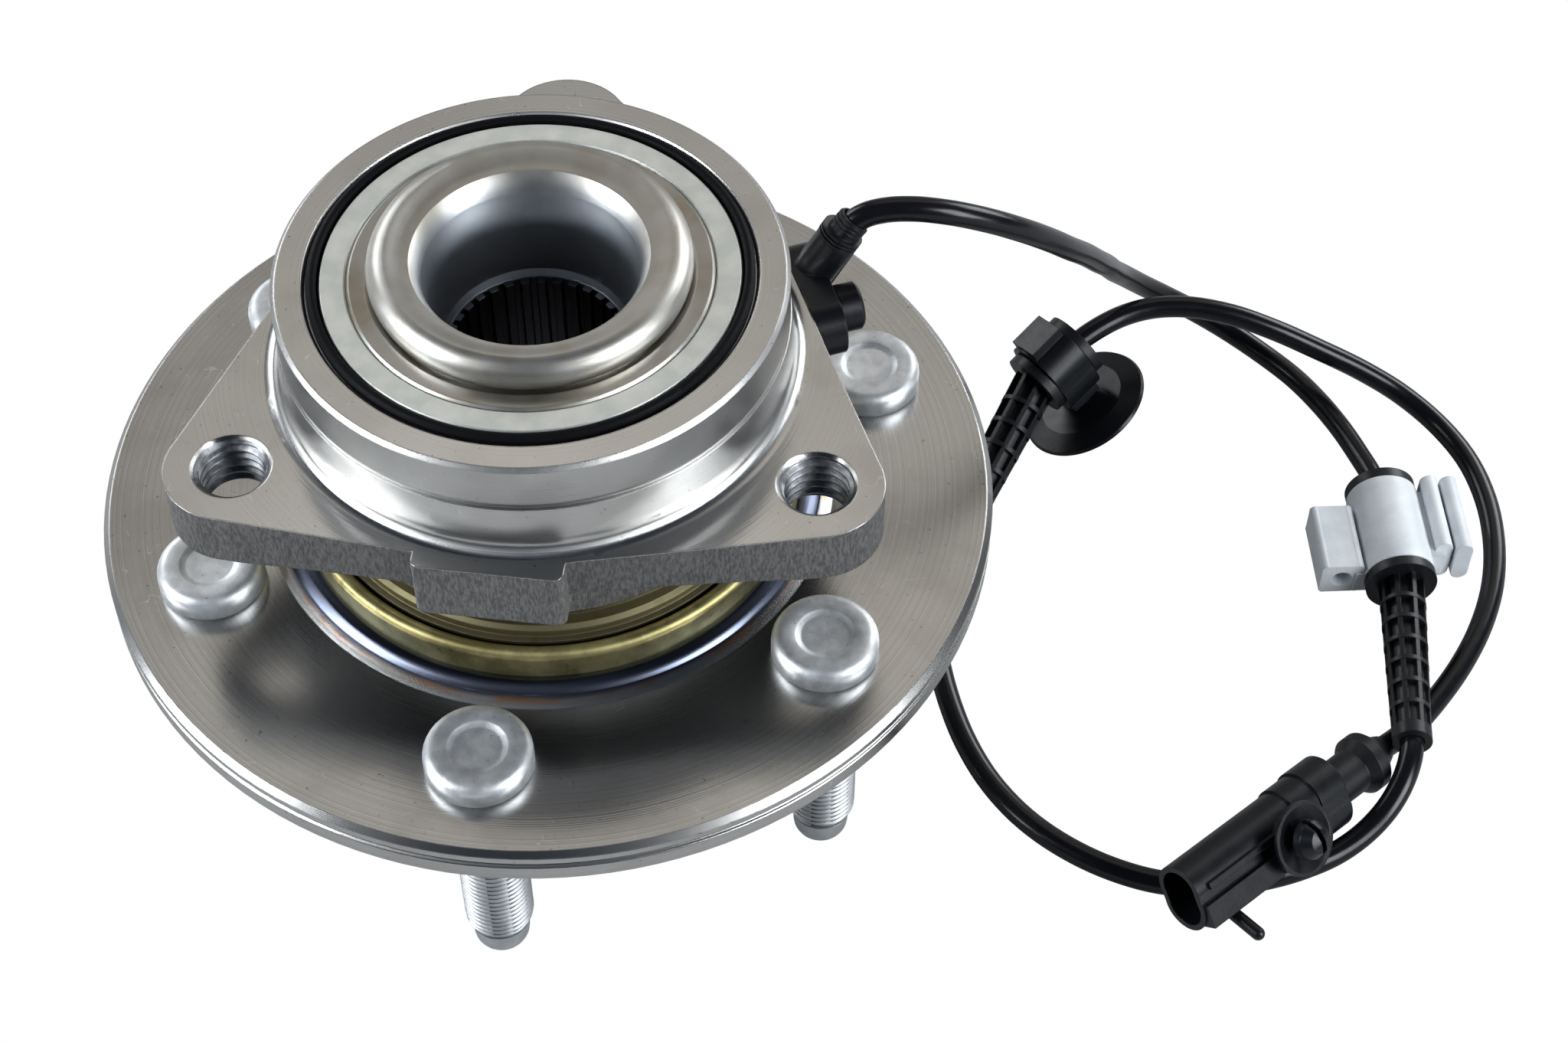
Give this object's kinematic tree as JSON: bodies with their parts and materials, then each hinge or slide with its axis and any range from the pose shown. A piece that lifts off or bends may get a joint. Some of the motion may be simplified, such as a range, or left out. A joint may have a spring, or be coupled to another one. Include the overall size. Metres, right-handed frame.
{
  "type": "wheel hub",
  "caption": "Wheel hub and bearing unit with a studded wheel flange, a bolt-on outer ring, a splined bore, and a wheel speed sensor with its cable and connector.",
  "frame": {"origin": "centre of the wheel-side face of the flange, on the hub's axis", "axes": "+Z along the hub's axis towards the vehicle, +Y towards one of the three threaded holes of the outer ring, and the wheel studs point along -Z"},
  "size_m": [0.2981, 0.1897, 0.128],
  "materials": {
    "turned_steel": "satin",
    "forged_steel": "satin",
    "bearing_steel": "polished",
    "sintered_steel": "matte",
    "zinc_plate": "satin",
    "pale_zinc": "satin",
    "yellow_chromate": "satin",
    "seal_rubber": "glossy",
    "black_rubber": "satin",
    "cable_jacket": "glossy",
    "black_plastic": "satin",
    "grey_plastic": "satin",
    "cage_plastic": "satin",
    "black_steel": "satin",
    "brass": "satin",
    "tin_plate": "satin"
  },
  "bodies": {
    "knuckle_side": {"outer_ring": "forged_steel", "inboard_seal_case": "pale_zinc", "inboard_seal_lip": "seal_rubber", "outboard_seal_case": "yellow_chromate", "outboard_seal_lip": "seal_rubber", "sensor_body": "black_plastic", "sensor_o_ring": "seal_rubber", "sensor_bushing": "brass", "sensor_screw": "black_steel", "sensor_boot": "black_rubber", "sensor_cable": "cable_jacket", "sleeve_grommet_a": "black_rubber", "grey_clip": "grey_plastic", "sleeve_grommet_b": "black_rubber", "black_clip": "black_plastic", "clip_disc": "black_plastic", "connector_boot": "black_rubber", "connector_housing": "black_plastic", "connector_terminals": "tin_plate", "push_clip": "black_plastic"},
    "wheel_side": {"hub_spindle": "turned_steel", "inner_ring": "bearing_steel", "wheel_studs": "zinc_plate", "tone_ring": "sintered_steel", "inboard_slinger": "pale_zinc", "outboard_slinger": "yellow_chromate"},
    "inboard_row": {"inboard_cage": "cage_plastic", "inboard_balls": "bearing_steel"},
    "outboard_row": {"outboard_cage": "cage_plastic", "outboard_balls": "bearing_steel"}
  },
  "joints": [
    {"name": "hub_spin", "type": "hinge", "parent": "knuckle_side", "child": "wheel_side", "pos_m": [0, 0, 0.04], "axis": [0, 0, 1], "continuous": true},
    {"name": "inboard_row_spin", "type": "hinge", "parent": "knuckle_side", "child": "inboard_row", "pos_m": [0, 0, 0.0575], "axis": [0, 0, 1], "continuous": true},
    {"name": "outboard_row_spin", "type": "hinge", "parent": "knuckle_side", "child": "outboard_row", "pos_m": [0, 0, 0.026], "axis": [0, 0, 1], "continuous": true}
  ],
  "couplings": [
    {"joint": "inboard_row_spin", "follows": "hub_spin", "ratio": 0.4333},
    {"joint": "outboard_row_spin", "follows": "hub_spin", "ratio": 0.4333}
  ]
}
